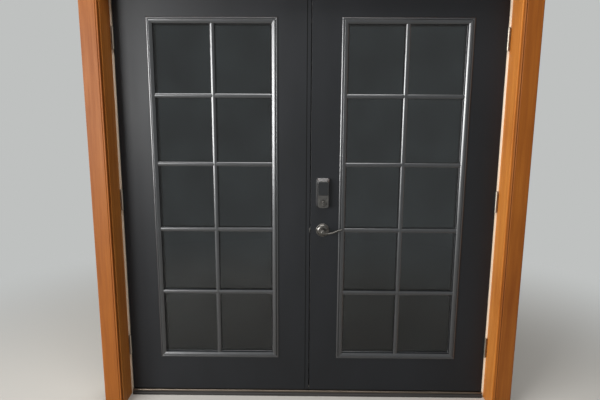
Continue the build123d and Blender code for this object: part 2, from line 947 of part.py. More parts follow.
def latch_bolt():
    # Sprung tongue, bevelled towards the outside so that it rides over the strike.
    tip = right_meeting_edge - latch_throw
    body = rod_x(tip, right_meeting_edge + latch_tail, mid_thickness, lever_z, latch_radius)
    bevel = outline(
        (tip - overcut, mid_thickness - latch_radius * 0.45),
        (tip + latch_throw * 0.85, mid_thickness + latch_radius + overcut),
        (tip - overcut, mid_thickness + latch_radius + overcut),
    )
    return body - along_z(bevel, lever_z - latch_radius - overcut, lever_z + latch_radius + overcut)


def deadbolt():
    start = right_meeting_edge + bolt_inset
    body = rod_x(start, start + deadbolt_length, mid_thickness, deadbolt_z, deadbolt_radius)
    end = body.edges().filter_by(GeomType.CIRCLE).sort_by(Axis.X)[0]
    return chamfer(end, deadbolt_bevel)


# Lever set

def rosette():
    bore, top = neck_radius + turning_clearance, rosette_height
    r = rosette_radius
    face = outline(
        (bore, 0),
        (r, 0),
        (r, top * 0.14),
        (r - 0.8, top * 0.26, r - 2.5, top * 0.3),
        (r - 4.5, top * 0.3),
        (r - 4.5, top * 0.4),
        (r * 0.68, top * 0.72, neck_radius + 6.5, top * 0.84),
        (neck_radius + 5, top * 0.84),
        (neck_radius + 4, top),
        (bore, top),
    )
    return turned(face, lever_x, lever_z)


def lever_grip():
    # Wave-shaped grip lofted through ovals: share of the reach, rise, half depth, half height.
    ovals = (
        (0.0, 0.0, 7.5, 9.0),
        (0.13, -5.0, 7.0, 7.5),
        (0.27, -6.5, 6.0, 5.8),
        (0.44, -4.0, 5.2, 5.0),
        (0.63, 2.5, 4.8, 4.8),
        (0.82, 9.0, 4.4, 4.6),
        (0.96, 12.0, 3.6, 3.8),
        (1.0, 12.6, 2.0, 2.2),
    )
    sections = []
    for share, rise, half_depth, half_height in ovals:
        inward = 5.0 * share * share
        plane = Plane(
            origin=(lever_x + share * lever_reach, -lever_projection + inward, lever_z + rise),
            x_dir=(0, 1, 0), z_dir=(1, 0, 0))
        sections.append(plane * Ellipse(half_depth, half_height))
    return loft(sections)


def lever_hub(back):
    top, r, crown = lever_projection + hub_crown, hub_radius, hub_round
    shoulder = top - crown - 2 * hub_crown
    face = outline(
        (0, back),
        (neck_radius, back),
        (neck_radius, rosette_height + 6),
        (neck_radius + 0.6, rosette_height + 14, r, shoulder),
        (r, top - crown),
        (r - crown * arc_cut, top - crown * arc_cut, r - crown, top),
        (0, top),
    )
    return turned(face, lever_x, lever_z)


def inside_lever():
    spindle_end = slab_thickness + rosette_height + spindle_grip
    spindle = rod_y(lever_x, -overcut, spindle_end, lever_z, spindle_radius)
    return lever_hub(1) + lever_grip() + spindle


def outside_lever():
    socket_end = slab_thickness + rosette_height + spindle_grip + spindle_end_gap
    socket = rod_y(lever_x, 0, socket_end, lever_z, spindle_radius + spindle_fit)
    return to_outside(lever_hub(1) + lever_grip()) - socket


# Lock on the room side

def rounded_plate(width, low, high, corner):
    # Upright plate outline about the bolt's axis, in the door's own plane.
    height = high - low
    plate = RectangleRounded(width, height, corner)
    return Pos(lever_x, deadbolt_z + (low + high) / 2) * plate


def bevelled_housing(depth):
    flat = rounded_plate(housing_width, -housing_below, housing_above, housing_corner)
    body = along_y(flat, -housing_base, 0)
    base_plane = Plane(origin=(0, -housing_base, 0), x_dir=(1, 0, 0), z_dir=(0, -1, 0))
    top_plane = Plane(origin=(0, -depth, 0), x_dir=(1, 0, 0), z_dir=(0, -1, 0))
    front = rounded_plate(
        housing_width - 2 * bevel_side, -housing_below + bevel_bottom,
        housing_above - bevel_top, housing_corner - bevel_bottom)
    return body + loft([base_plane * flat, top_plane * front], ruled=True)


def cover_outline(clearance):
    top = housing_above - bevel_top - cover_top_margin + clearance
    return rounded_plate(
        cover_width + 2 * clearance, top - cover_height - 2 * clearance, top, cover_corner + clearance)


def lock_housing():
    body = bevelled_housing(housing_depth)
    body += rod_y(lever_x, -ring_height, 0, deadbolt_z, ring_radius)
    groove = rod_y(lever_x, -ring_height, -ring_height + ring_groove_depth, deadbolt_z, ring_groove_radius)
    body -= groove
    body -= along_y(cover_outline(cover_clearance), -housing_depth, -housing_depth + cover_recess)
    seat = turn_radius + turning_clearance
    body -= rod_y(lever_x, -ring_height, -ring_height + turn_seat_depth, deadbolt_z, seat)
    return body - rod_y(lever_x, -ring_height, 0, deadbolt_z, tail_radius + turning_clearance)


def battery_cover():
    inner = -housing_depth + cover_recess
    body = along_y(cover_outline(0), inner - cover_thickness, inner)
    front = body.faces().sort_by(Axis.Y)[0]
    return fillet(front.edges(), cover_round)


def thumbturn():
    # Oval turnpiece on its disc, with the tail that works the bolt.
    seat = ring_height - turn_seat_depth
    top = ring_height - turn_sink
    disc = turned(
        outline(
            (0, seat + turning_clearance),
            (turn_radius, seat + turning_clearance),
            (turn_radius, top - turn_edge),
            (turn_radius - turn_edge, top),
            (0, top),
        ),
        lever_x, deadbolt_z)
    half_w = turn_paddle_width / 2
    paddle = Pos(lever_x, deadbolt_z) * SlotOverall(turn_paddle_length, turn_paddle_width, rotation=90)
    body = along_y(paddle, -top - turn_paddle_height, -top)
    body = fillet(body.faces().sort_by(Axis.Y)[0].edges(), half_w * 0.5)
    tail = rod_y(lever_x, -seat - turn_edge, mid_thickness + tail_overrun, deadbolt_z, tail_radius)
    return disc + body + tail


# Lock on the outside

def keypad_housing():
    body = to_outside(bevelled_housing(keypad_depth))
    outer = slab_thickness + keypad_depth
    guard = rod_y(lever_x, slab_thickness, outer + plug_guard_height, deadbolt_z, plug_guard_radius)
    guard_edge = guard.edges().filter_by(GeomType.CIRCLE).sort_by(Axis.Y)[-1]
    body += chamfer(guard_edge, plug_guard_bevel)
    body -= along_y(cover_outline(cover_clearance), outer - cover_recess, outer + overcut)
    bore = plug_radius + turning_clearance
    far = outer + plug_guard_height + overcut
    return body - rod_y(lever_x, slab_thickness - overcut, far, deadbolt_z, bore)


def touch_panel():
    outer = slab_thickness + keypad_depth - cover_recess
    body = along_y(cover_outline(0), outer, outer + cover_thickness)
    front = body.faces().sort_by(Axis.Y)[-1]
    return fillet(front.edges(), cover_round)


def key_plug():
    start = slab_thickness + plug_sink
    end = slab_thickness + keypad_depth + plug_guard_height - plug_sink
    body = rod_y(lever_x, start, end, deadbolt_z, plug_radius)
    half_w, half_h = keyway_width / 2, keyway_height / 2
    keyway = block(
        lever_x - half_w, lever_x + half_w, end - keyway_depth, end + overcut,
        deadbolt_z - half_h, deadbolt_z + half_h)
    return body - keyway


def build():
    ring = light_ring()
    grid = glazing_grid(ring)
    casing_front = -lining_depth - casing_thickness
    casings = three_sided(casing_section(), casing_inner, casing_head, casing_width, casing_front)
    moulds = three_sided(brickmould_section(), mould_inner, mould_head, brickmould_width, jamb_depth)
    parts = {
        "sill_base": sill_base(),
        "sill_tread": sill_tread(),
        "sill_cap": sill_cap(),
        "left_jamb": side_jamb(-1),
        "right_jamb": side_jamb(1),
        "head_jamb": head_jamb(),
        "weatherstrips": weatherstrips(),
        "left_lining": lining(-1),
        "right_lining": lining(1),
        "head_lining": head_lining(),
        "left_casing": casings[0],
        "right_casing": casings[1],
        "head_casing": casings[2],
        "left_brickmould": moulds[0],
        "right_brickmould": moulds[1],
        "head_brickmould": moulds[2],
        "frame_hinge_leaves": Compound(children=hinge_plates(-1, True) + hinge_plates(1, True)),
        "hinge_pins": hinge_pins(),
        "head_bolt_plate": bolt_plate_hole(head_bolt_plate_blank()),
        "sill_bolt_plate": bolt_plate_hole(sill_bolt_plate_blank()),
        "left_slab": left_slab(),
        "right_slab": right_slab(),
        "left_sweep": sweep(-hinge_edge + sweep_inset, left_meeting_edge - sweep_inset),
        "right_sweep": sweep(right_meeting_edge + sweep_inset, hinge_edge - sweep_inset),
        "left_door_hinge_leaves": Compound(children=hinge_plates(-1, False)),
        "right_door_hinge_leaves": Compound(children=hinge_plates(1, False)),
        "astragal": astragal_with_lip(),
        "meeting_seal": meeting_seal(),
        "latch_strike": latch_strike(),
        "deadbolt_strike": deadbolt_strike(),
        "flush_bolt_top": flush_bolt(slab_top - bolt_recess, 1),
        "flush_bolt_bottom": flush_bolt(slab_bottom + bolt_recess, -1),
        "latch_case": bolt_case(lever_z, latch_radius, spindle_radius),
        "deadbolt_case": bolt_case(deadbolt_z, deadbolt_radius, tail_radius),
        "latch_bolt": latch_bolt(),
        "deadbolt": deadbolt(),
        "inside_rosette": rosette(),
        "outside_rosette": to_outside(rosette()),
        "inside_lever": inside_lever(),
        "outside_lever": outside_lever(),
        "lock_housing": lock_housing(),
        "battery_cover": battery_cover(),
        "thumbturn": thumbturn(),
        "keypad_housing": keypad_housing(),
        "touch_panel": touch_panel(),
        "key_plug": key_plug(),
    }
    for side, left_x in (("left", left_light_x), ("right", right_light_x)):
        inside_ring = place_light(ring, left_x)
        inside_grid = place_light(grid, left_x)
        parts[side + "_inside_light_frame"] = inside_ring
        parts[side + "_outside_light_frame"] = to_outside(inside_ring)
        parts[side + "_inside_grid"] = inside_grid
        parts[side + "_outside_grid"] = to_outside(inside_grid)
        parts[side + "_panes"] = panes(left_x)
        parts[side + "_glass_spacer"] = glass_spacer(left_x)
    return parts


os.makedirs("parts", exist_ok=True)
for node, shape in build().items():
    export_step(shape, os.path.join("parts", node + ".step"))
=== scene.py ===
import math

import bmesh
import bpy
from mathutils import Matrix, Vector


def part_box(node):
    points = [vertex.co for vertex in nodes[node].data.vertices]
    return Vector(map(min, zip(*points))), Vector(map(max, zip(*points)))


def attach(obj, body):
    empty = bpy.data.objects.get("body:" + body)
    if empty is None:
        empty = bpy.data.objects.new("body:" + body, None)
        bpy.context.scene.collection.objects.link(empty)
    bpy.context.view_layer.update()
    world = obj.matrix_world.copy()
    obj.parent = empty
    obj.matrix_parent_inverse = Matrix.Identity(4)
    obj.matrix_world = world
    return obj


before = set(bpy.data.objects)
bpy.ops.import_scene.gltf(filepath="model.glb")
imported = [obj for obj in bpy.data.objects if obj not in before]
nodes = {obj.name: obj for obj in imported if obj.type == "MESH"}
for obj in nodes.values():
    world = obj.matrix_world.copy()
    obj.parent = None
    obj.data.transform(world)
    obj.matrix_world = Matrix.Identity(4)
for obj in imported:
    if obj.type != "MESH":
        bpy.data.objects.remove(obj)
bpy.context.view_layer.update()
mm = 0.001
print("frame loaded:", len(nodes), "nodes")


def hexColour(text):
    # sRGB hex to the linear values that the shaders take
    parts = [int(text[i:i + 2], 16) / 255 for i in (1, 3, 5)]
    linear = [c / 12.92 if c <= 0.04045 else ((c + 0.055) / 1.055) ** 2.4 for c in parts]
    return (*linear, 1.0)


def addNode(tree, kind, settings=None, inputs=None, ramp=None):
    # One shader node, with its settings, its values or links, and the stops of a ramp
    node = tree.nodes.new("ShaderNode" + kind)
    for key, value in (settings or {}).items():
        setattr(node, key, value)
    for key, value in (inputs or {}).items():
        if isinstance(value, bpy.types.NodeSocket):
            tree.links.new(value, node.inputs[key])
        else:
            node.inputs[key].default_value = value
    if ramp:
        stops = node.color_ramp.elements
        while len(stops) < len(ramp):
            stops.new(0.5)  # moved to its own place below
        for stop, (place, colour) in zip(stops, ramp):
            stop.position = place
            stop.color = hexColour(colour)
    return node


def startMaterial(name, constants):
    # constants are the values that are the same all over the surface
    material = bpy.data.materials.new(name)
    material.use_nodes = True
    tree = material.node_tree
    bsdf = tree.nodes["Principled BSDF"]
    for socket, value in constants.items():
        bsdf.inputs[socket].default_value = value
    return material, tree, bsdf


def perMetre(sizeInMm):
    # A texture's scale from the real size of its pattern
    return 1000 / sizeInMm


def giveFinish(material, *names):
    for name in names:
        mesh = nodes[name].data
        mesh.materials.clear()
        mesh.materials.append(material)


# What all the paints share. Each adds its colours, its gloss and the sizes of its patterns
paintBase = {
    "mottleEnds": (0.35, 0.68), "glossEnds": (0.3, 0.7), "peelStrength": 0.35,
    "film": 0.0, "filmRoughness": 0.25, "filmIor": 1.6}


def paintFinish(name, look, drawn):
    # drawn is under 1 along an axis where roller or brush drew the pattern out
    material, tree, bsdf = startMaterial(name, {
        "IOR": look["ior"], "Coat Weight": look["film"],
        "Coat Roughness": look["filmRoughness"], "Coat IOR": look["filmIor"]})
    place = addNode(tree, "TexCoord").outputs["Object"]
    laid = addNode(tree, "Mapping", None, {"Vector": place, "Scale": drawn}).outputs["Vector"]
    mottle = addNode(tree, "TexNoise", None, {
        "Vector": laid, "Scale": perMetre(look["mottleMm"]), "Detail": 4, "Roughness": 0.6})
    stops = list(zip(look["mottleEnds"], look["colours"]))
    colour = addNode(tree, "ValToRGB", None, {"Fac": mottle.outputs["Fac"]}, stops)
    tree.links.new(colour.outputs["Color"], bsdf.inputs["Base Color"])
    glossLow, glossHigh = look["glossEnds"]
    smooth, dull = look["roughness"]
    gloss = addNode(tree, "MapRange", None, {
        "Value": mottle.outputs["Fac"], "From Min": glossLow, "From Max": glossHigh,
        "To Min": smooth, "To Max": dull})
    tree.links.new(gloss.outputs["Result"], bsdf.inputs["Roughness"])
    peel = addNode(tree, "TexNoise", None, {"Vector": laid, "Scale": perMetre(look["peelMm"]), "Detail": 2})
    bump = addNode(tree, "Bump", None, {
        "Height": peel.outputs["Fac"], "Strength": look["peelStrength"],
        "Distance": look["peelDepthMm"] * mm})
    tree.links.new(bump.outputs["Normal"], bsdf.inputs["Normal"])
    return material


# Leaves: satin enamel, rolled on. Near black, with a broad soft highlight and a faint orange peel
doorPaint = dict(
    paintBase, colours=("#0e1013", "#131519"), roughness=(0.42, 0.5), ior=1.4,
    mottleMm=320, peelMm=6, peelDepthMm=0.03)
giveFinish(paintFinish("satinEnamelRolled", doorPaint, (1, 1, 0.35)), "left_slab", "right_slab", "astragal")

# Light frames and bars: the same enamel sprayed on moulded plastic, smoother, with a glossier skin
barPaint = dict(
    paintBase, colours=("#121417", "#181a1e"), roughness=(0.3, 0.36), ior=1.55, film=1.0,
    mottleMm=120, peelMm=9, peelDepthMm=0.015)
sprayedEnamel = paintFinish("satinEnamelSprayed", barPaint, (1, 1, 1))
for side in ("left", "right"):
    for face in ("inside", "outside"):
        giveFinish(sprayedEnamel, f"{side}_{face}_light_frame", f"{side}_{face}_grid")
print("leaves painted")

# Lining and casings: flat-sawn fir under orange-brown stain and satin varnish, streaked light and dark
# Growth rings are 2 to 3 mm apart and don't show at this distance, so they are drawn 9 mm apart
firStain = {
    "ramp": [(0.2, "#5a2a07"), (0.42, "#79400f"), (0.6, "#8a4f18"), (0.85, "#9d6226")],
    "ringMm": 9, "streakMm": 26, "streakShare": 0.45, "stretch": 0.035, "swayMm": 90, "swayReachMm": 30,
    "cloud": [(0.3, "#68340d"), (0.7, "#92571f")], "cloudMm": 420, "cloudShare": 0.3,
    "roughness": (0.42, 0.58), "glossEnds": (0.3, 0.7), "specular": 0.22,
    "poreMm": 2.2, "poreDepthMm": 0.08, "poreStrength": 0.3}


def stainedFir(name, along, look):
    # along is the axis that the grain follows: 0 for X, 2 for Z
    material, tree, bsdf = startMaterial(name, {"Specular IOR Level": look["specular"]})
    place = addNode(tree, "TexCoord").outputs["Object"]
    scale = [1.0, 1.0, 1.0]
    scale[along] = look["stretch"]
    board = addNode(tree, "Mapping", None, {"Vector": place, "Scale": scale}).outputs["Vector"]
    sway = addNode(tree, "TexNoise", None, {
        "Vector": board, "Scale": perMetre(look["swayMm"]), "Detail": 2})
    reach = look["swayReachMm"] * mm
    bent = addNode(tree, "VectorMath", {"operation": "MULTIPLY_ADD"}, {
        0: sway.outputs["Color"], 1: (reach, reach, 0.0), 2: board}).outputs["Vector"]
    rings = addNode(tree, "TexNoise", None, {
        "Vector": bent, "Scale": perMetre(look["ringMm"]), "Detail": 5, "Roughness": 0.65, "Distortion": 0.4})
    streaks = addNode(tree, "TexNoise", None, {
        "Vector": bent, "Scale": perMetre(look["streakMm"]), "Detail": 3})
    grain = addNode(tree, "Mix", {"data_type": "FLOAT"}, {
        "Factor": look["streakShare"], "A": rings.outputs["Fac"], "B": streaks.outputs["Fac"]})
    tone = addNode(tree, "ValToRGB", None, {"Fac": grain.outputs["Result"]}, look["ramp"])
    cloud = addNode(tree, "TexNoise", None, {
        "Vector": place, "Scale": perMetre(look["cloudMm"]), "Detail": 2})
    wash = addNode(tree, "ValToRGB", None, {"Fac": cloud.outputs["Fac"]}, look["cloud"])
    colour = addNode(tree, "Mix", {"data_type": "RGBA", "blend_type": "MIX"}, {
        "Factor": look["cloudShare"], "A": tone.outputs["Color"], "B": wash.outputs["Color"]})
    tree.links.new(colour.outputs["Result"], bsdf.inputs["Base Color"])
    glossLow, glossHigh = look["glossEnds"]
    smooth, dull = look["roughness"]
    gloss = addNode(tree, "MapRange", None, {
        "Value": grain.outputs["Result"], "From Min": glossLow, "From Max": glossHigh,
        "To Min": dull, "To Max": smooth})
    tree.links.new(gloss.outputs["Result"], bsdf.inputs["Roughness"])
    pores = addNode(tree, "TexNoise", None, {
        "Vector": board, "Scale": perMetre(look["poreMm"]), "Detail": 2})
    bump = addNode(tree, "Bump", None, {
        "Height": pores.outputs["Fac"], "Strength": look["poreStrength"],
        "Distance": look["poreDepthMm"] * mm})
    tree.links.new(bump.outputs["Normal"], bsdf.inputs["Normal"])
    return material


giveFinish(stainedFir("stainedFirUpright", 2, firStain), "left_casing", "right_casing")
giveFinish(stainedFir("stainedFirLevel", 0, firStain), "head_casing")
# The lining boards are coloured a shade lighter than the casings
firLining = dict(
    firStain, ramp=[(0.2, "#7f4416"), (0.42, "#a66327"), (0.6, "#ba7633"), (0.85, "#cd8d48")],
    cloud=[(0.3, "#8f501d"), (0.7, "#c27e39")])
giveFinish(stainedFir("stainedFirLiningUpright", 2, firLining), "left_lining", "right_lining")
giveFinish(stainedFir("stainedFirLiningLevel", 0, firLining), "head_lining")
print("timber stained")

# Jambs and outside mouldings: cream oil paint, brushed on primed pine, with soft brush lines along each board
creamPaint = dict(
    paintBase, colours=("#d9cbb5", "#e7dbc8"), roughness=(0.4, 0.55), ior=1.45,
    mottleMm=150, peelMm=4, peelDepthMm=0.12)
uprightCream = paintFinish("creamOilPaintBrushed", creamPaint, (1, 1, 0.08))
giveFinish(uprightCream, "left_jamb", "right_jamb", "left_brickmould", "right_brickmould")
levelCream = paintFinish("creamOilPaintBrushedLevel", creamPaint, (0.08, 1, 1))
giveFinish(levelCream, "head_jamb", "head_brickmould")
print("jambs painted")

# What the plain finishes share. One noise pattern varies colour and gloss, and ends says where most of it lies
plainBase = {
    "metallic": 0.0, "ior": 1.5, "specular": 0.5, "ends": (0.35, 0.65),
    "drawn": (1, 1, 1), "bumpMm": 0.0, "bumpStrength": 0.4}
metalBase = dict(plainBase, metallic=1.0)


def plainFinish(name, look):
    # look["drawn"] is under 1 along the axis that the surface was brushed or extruded along
    material, tree, bsdf = startMaterial(name, {
        "Metallic": look["metallic"], "IOR": look["ior"], "Specular IOR Level": look["specular"]})
    place = addNode(tree, "TexCoord").outputs["Object"]
    laid = addNode(tree, "Mapping", None, {"Vector": place, "Scale": look["drawn"]}).outputs["Vector"]
    pattern = addNode(tree, "TexNoise", None, {
        "Vector": laid, "Scale": perMetre(look["patternMm"]), "Detail": 4, "Roughness": 0.6})
    stops = list(zip(look["ends"], look["colours"]))
    colour = addNode(tree, "ValToRGB", None, {"Fac": pattern.outputs["Fac"]}, stops)
    tree.links.new(colour.outputs["Color"], bsdf.inputs["Base Color"])
    low, high = look["ends"]
    smooth, dull = look["roughness"]
    gloss = addNode(tree, "MapRange", None, {
        "Value": pattern.outputs["Fac"], "From Min": low, "From Max": high, "To Min": smooth, "To Max": dull})
    tree.links.new(gloss.outputs["Result"], bsdf.inputs["Roughness"])
    if look["bumpMm"]:
        bump = addNode(tree, "Bump", None, {
            "Height": pattern.outputs["Fac"], "Strength": look["bumpStrength"],
            "Distance": look["bumpMm"] * mm})
        tree.links.new(bump.outputs["Normal"], bsdf.inputs["Normal"])
    return material


# Satin nickel plate on steel, brushed up and down: pale and warm, with stretched highlights
nickelPlate = dict(
    metalBase, colours=("#8f867a", "#a89f92"), patternMm=3, roughness=(0.3, 0.42), drawn=(1, 1, 0.1))
satinNickel = plainFinish("satinNickelBrushed", nickelPlate)
giveFinish(satinNickel, "frame_hinge_leaves", "hinge_pins")
giveFinish(satinNickel, "left_door_hinge_leaves", "right_door_hinge_leaves")

# Zinc-plated steel, rolled: greyer and duller
zincPlate = dict(metalBase, colours=("#7e7c78", "#9a9893"), patternMm=8, roughness=(0.34, 0.5))
zincSteel = plainFinish("zincPlateRolled", zincPlate)
giveFinish(zincSteel, "head_bolt_plate", "sill_bolt_plate", "flush_bolt_top", "flush_bolt_bottom")
giveFinish(zincSteel, "latch_strike", "latch_case", "latch_bolt")
giveFinish(zincSteel, "deadbolt_strike", "deadbolt_case", "deadbolt")

# Zinc castings with aged bronze plate, tumbled: dark pewter with paler worn highlights
bronzePlate = dict(
    metalBase, colours=("#585653", "#6e6b67"), patternMm=14, roughness=(0.25, 0.33), bumpMm=0.01)
agedBronze = plainFinish("agedBronzeTumbled", bronzePlate)
giveFinish(agedBronze, "inside_rosette", "outside_rosette", "inside_lever", "outside_lever", "thumbturn")

# The same plate on the lock housings, its bevels and sides rubbed pale and smooth by hands, and painted paler
# still as a painted highlight
rubbedAndHighlitBronze = {
    # edge holds the pale colours of wear and painted highlight on the bevels and sides
    "face": [(0.35, "#5f5d5b"), (0.65, "#716f6c")], "edge": [(0.35, "#a9a8a8"), (0.65, "#c0bfbe")],
    "patternMm": 14, "roughness": (0.2, 0.32), "flat": 0.99, "turned": 0.9}


def rubbedAndHighlitPlate(name, look):
    # The normal's Y in the piece's own space tells the flat front and back from the bevels and sides, which
    # get pale wear and a painted highlight
    material, tree, bsdf = startMaterial(name, {"Metallic": 1.0})
    coords = addNode(tree, "TexCoord")
    pattern = addNode(tree, "TexNoise", None, {
        "Vector": coords.outputs["Object"], "Scale": perMetre(look["patternMm"]),
        "Detail": 4, "Roughness": 0.6})
    face = addNode(tree, "ValToRGB", None, {"Fac": pattern.outputs["Fac"]}, look["face"])
    edge = addNode(tree, "ValToRGB", None, {"Fac": pattern.outputs["Fac"]}, look["edge"])
    parts = addNode(tree, "SeparateXYZ", None, {"Vector": coords.outputs["Normal"]})
    frontal = addNode(tree, "Math", {"operation": "ABSOLUTE"}, {0: parts.outputs["Y"]})
    # Painted highlight and wear together: 1 on the bevels and sides, 0 on the flat front and back
    wearAndHighlight = addNode(tree, "MapRange", None, {
        "Value": frontal.outputs[0], "From Min": look["turned"], "From Max": look["flat"],
        "To Min": 1.0, "To Max": 0.0})
    colour = addNode(tree, "Mix", {"data_type": "RGBA", "blend_type": "MIX"}, {
        "Factor": wearAndHighlight.outputs["Result"], "A": face.outputs["Color"], "B": edge.outputs["Color"]})
    tree.links.new(colour.outputs["Result"], bsdf.inputs["Base Color"])
    smooth, dull = look["roughness"]
    gloss = addNode(tree, "MapRange", None, {
        "Value": wearAndHighlight.outputs["Result"], "To Min": dull, "To Max": smooth})
    tree.links.new(gloss.outputs["Result"], bsdf.inputs["Roughness"])
    return material


giveFinish(rubbedAndHighlitPlate("agedBronzeRubbedAndHighlit", rubbedAndHighlitBronze), "lock_housing", "keypad_housing")

# Gloss black polycarbonate, moulded: mirror-smooth
blackPlastic = dict(plainBase, colours=("#08090b", "#0c0d10"), patternMm=60, roughness=(0.05, 0.09), ior=1.65)
giveFinish(plainFinish("glossBlackMoulded", blackPlastic), "battery_cover", "touch_panel")

# Brass, turned and lightly tarnished: the one yellow metal
plugBrass = dict(metalBase, colours=("#a98f52", "#c7ad6b"), patternMm=4, roughness=(0.25, 0.4))
giveFinish(plainFinish("brassTurned", plugBrass), "key_plug")

# Black foam and rubber, extruded: matt, with a dusty bloom
sealRubber = dict(plainBase, colours=("#131313", "#201f1e"), patternMm=5, roughness=(0.75, 0.9), bumpMm=0.1)
blackRubber = plainFinish("rubberExtruded", sealRubber)
giveFinish(blackRubber, "weatherstrips", "meeting_seal", "left_sweep", "right_sweep")

# Composite sill base, moulded: near black and dull
sillComposite = dict(
    plainBase, colours=("#1b1917", "#252220"), patternMm=30, roughness=(0.55, 0.7),
    drawn=(0.2, 1, 1), bumpMm=0.15)
giveFinish(plainFinish("sillCompositeMoulded", sillComposite), "sill_base")

# Aluminium in dark bronze anodising, extruded: faint lines along its length
sillBronze = dict(
    metalBase, colours=("#4b443d", "#5f574e"), patternMm=6, roughness=(0.3, 0.42), drawn=(0.05, 1, 1))
giveFinish(plainFinish("bronzeAnodisedExtruded", sillBronze), "sill_tread")
# The cap is paler all over: partly wear where feet and sweeps run over it, partly a painted highlight along
# the foot of the leaves
wornAndHighlitBronze = dict(sillBronze, colours=("#645b51", "#7a7065"), roughness=(0.28, 0.4))
giveFinish(plainFinish("bronzeAnodisedWornAndHighlit", wornAndHighlitBronze), "sill_cap")

# Aluminium spacer between the panes, as rolled in the mill: plain pale grey
spacerMetal = dict(metalBase, colours=("#8d8f90", "#a4a6a7"), patternMm=10, roughness=(0.3, 0.45))
giveFinish(plainFinish("aluminiumMillFinish", spacerMetal), "left_glass_spacer", "right_glass_spacer")

# Insulating glass in a deep grey tint: the panes look dark from both sides
tintedGlass = {"tint": [(0.35, "#6a6e70"), (0.65, "#74797b")], "smearMm": 180, "roughness": 0.0, "ior": 1.5}


def floatGlass(name, look):
    material, tree, bsdf = startMaterial(name, {
        "Roughness": look["roughness"], "IOR": look["ior"], "Transmission Weight": 1.0})
    place = addNode(tree, "TexCoord").outputs["Object"]
    smear = addNode(tree, "TexNoise", None, {
        "Vector": place, "Scale": perMetre(look["smearMm"]), "Detail": 2})
    tint = addNode(tree, "ValToRGB", None, {"Fac": smear.outputs["Fac"]}, look["tint"])
    tree.links.new(tint.outputs["Color"], bsdf.inputs["Base Color"])
    return material


giveFinish(floatGlass("floatGlassTinted", tintedGlass), "left_panes", "right_panes")
print("hardware, sill and glass finished")


# Pieces that the frame leaves to the scene. Their places come from its nodes, in millimetres
def nodeBox(name):
    low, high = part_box(name)
    return low / mm, high / mm


leftLow, leftHigh = nodeBox("left_slab")
rightLow, rightHigh = nodeBox("right_slab")
leafMiddle = (leftLow.y + leftHigh.y) / 2


def bridgeLoops(builder, low, high):
    # Faces between two closed loops with the same number of points
    count = len(low)
    for i in range(count):
        builder.faces.new((low[i], low[(i + 1) % count], high[(i + 1) % count], high[i]))


def meshPiece(name, builder, material, body):
    bmesh.ops.recalc_face_normals(builder, faces=builder.faces)
    mesh = bpy.data.meshes.new(name)
    builder.to_mesh(mesh)
    builder.free()
    piece = bpy.data.objects.new(name, mesh)
    bpy.context.scene.collection.objects.link(piece)
    mesh.materials.append(material)
    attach(piece, body)


# Screws: countersunk heads with a cross recess, each a closed cap that sits in its plate
screwLook = {
    "headRadius": 4.0, "topRadius": 2.9, "domeHeight": 0.45, "sunk": 0.3, "sides": 24, "turnStep": 0.7,
    "crossLong": 2.1, "crossWide": 0.55, "crossDeep": 0.4, "crossTaper": 0.8}


def screwHead(builder, look, place, outward, turn):
    spin = Matrix.Rotation(turn, 3, "Z")
    aim = outward.to_track_quat("Z", "Y").to_matrix()

    def point(x, y, z):
        return builder.verts.new(place + aim @ (spin @ Vector((x, y, z))) * mm)

    def circle(radius, z):
        angles = [2 * math.pi * step / look["sides"] for step in range(look["sides"])]
        return [point(radius * math.cos(a), radius * math.sin(a), z) for a in angles]

    long, wide, dome = look["crossLong"], look["crossWide"], look["domeHeight"]
    arm = [(long, -wide), (long, wide), (wide, wide)]
    quarterTurns = ((1, 0), (0, 1), (-1, 0), (0, -1))
    cross = [(x * c - y * s, x * s + y * c) for c, s in quarterTurns for x, y in arm]
    base = circle(look["headRadius"], -look["sunk"])
    rim = circle(look["headRadius"], 0)
    top = circle(look["topRadius"], dome)
    taper = look["crossTaper"]
    mouth = [point(x, y, dome) for x, y in cross]
    pit = [point(x * taper, y * taper, dome - look["crossDeep"]) for x, y in cross]
    for low, high in ((base, rim), (rim, top), (mouth, pit)):
        bridgeLoops(builder, low, high)
    builder.faces.new(base)
    builder.faces.new(pit)
    pairs = [(loop[i], loop[(i + 1) % len(loop)]) for loop in (top, mouth) for i in range(len(loop))]
    bmesh.ops.triangle_fill(builder, edges=[builder.edges.get(pair) for pair in pairs], use_beauty=True)


def screwSet(name, places, look, material, body):
    # places are in millimetres, each with the way that its head faces
    builder = bmesh.new()
    for index, (place, outward) in enumerate(places):
        screwHead(builder, look, Vector(place) * mm, Vector(outward), look["turnStep"] * index)
    meshPiece(name, builder, material, body)


# Hinge plates: four screws each, staggered, in the thin gap between leaf and jamb
hingeScrews = {"halfHeight": 50.8, "pattern": [(12, 38), (26, 14), (12, -14), (26, -38)]}


def hingeScrewPlaces(look, side, plate, facing):
    low, high = nodeBox("frame_hinge_leaves")
    centres = (low.z + look["halfHeight"], (low.z + high.z) / 2, high.z - look["halfHeight"])
    spots = [(y, centre + rise) for centre in centres for y, rise in look["pattern"]]
    return [((side * plate, y, z), (side * facing, 0, 0)) for y, z in spots]


jambFace = nodeBox("sill_cap")[1].x  # the cap reaches from jamb to jamb
framePlaces = [place for side in (-1, 1) for place in hingeScrewPlaces(hingeScrews, side, jambFace, -1)]
screwSet("frameHingeScrews", framePlaces, screwLook, satinNickel, "frame")
for leafName, side in (("left", -1), ("right", 1)):
    leafPlaces = hingeScrewPlaces(hingeScrews, side, rightHigh.x, 1)
    setName, body = leafName + "LeafHingeScrews", leafName + "_leaf"
    screwSet(setName, leafPlaces, screwLook, satinNickel, body)

# Two screws in each plate: strikes on the left leaf, face plates on the right, bolt plates in head and sill
plateScrews = {"lockReach": 22.5, "boltReach": 18}
